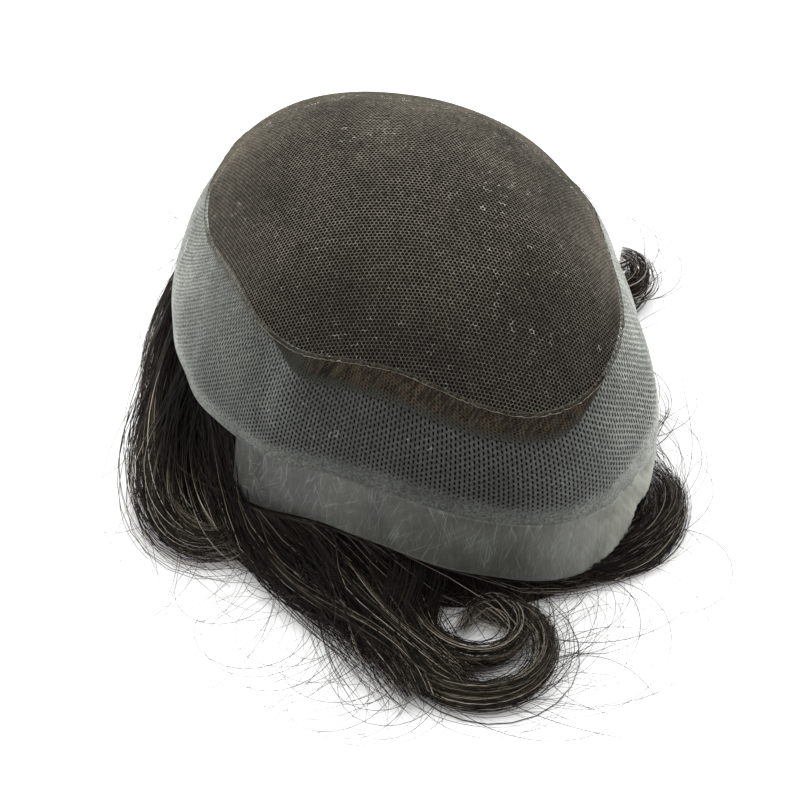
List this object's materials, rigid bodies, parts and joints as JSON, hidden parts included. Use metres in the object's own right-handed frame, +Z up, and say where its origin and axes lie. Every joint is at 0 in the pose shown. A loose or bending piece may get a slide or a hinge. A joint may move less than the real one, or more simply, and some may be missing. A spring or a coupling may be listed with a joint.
{
  "type": "toupee hairpiece",
  "caption": "Dark brown toupee hairpiece lying inside out on a table: a lace crown with a brown hem, a coated gauze band and a clear front strip, with wavy hair spread round its rim",
  "frame": {"origin": "middle of the bounding box in plan, on the table that the hair lies on", "axes": "+Z up from the table, +X to the right and -Y to the near side, where the clear strip hangs"},
  "size_m": [0.1632, 0.2184, 0.0903],
  "materials": {
    "lace": "fine hexagonal net of grey brown thread",
    "hem_tape": "brown ribbed lace tape, matte",
    "coated_gauze": "grey gauze with small upright holes, coated with thin film",
    "clear_film": "smooth cloudy film, finely scratched",
    "hair": "near black brown human hair with lighter fine strands"
  },
  "bodies": {
    "root": {"lace_crown": "lace", "lace_hem": "hem_tape", "gauze_band": "coated_gauze", "clear_strip": "clear_film", "hair": "hair"}
  },
  "joints": []
}
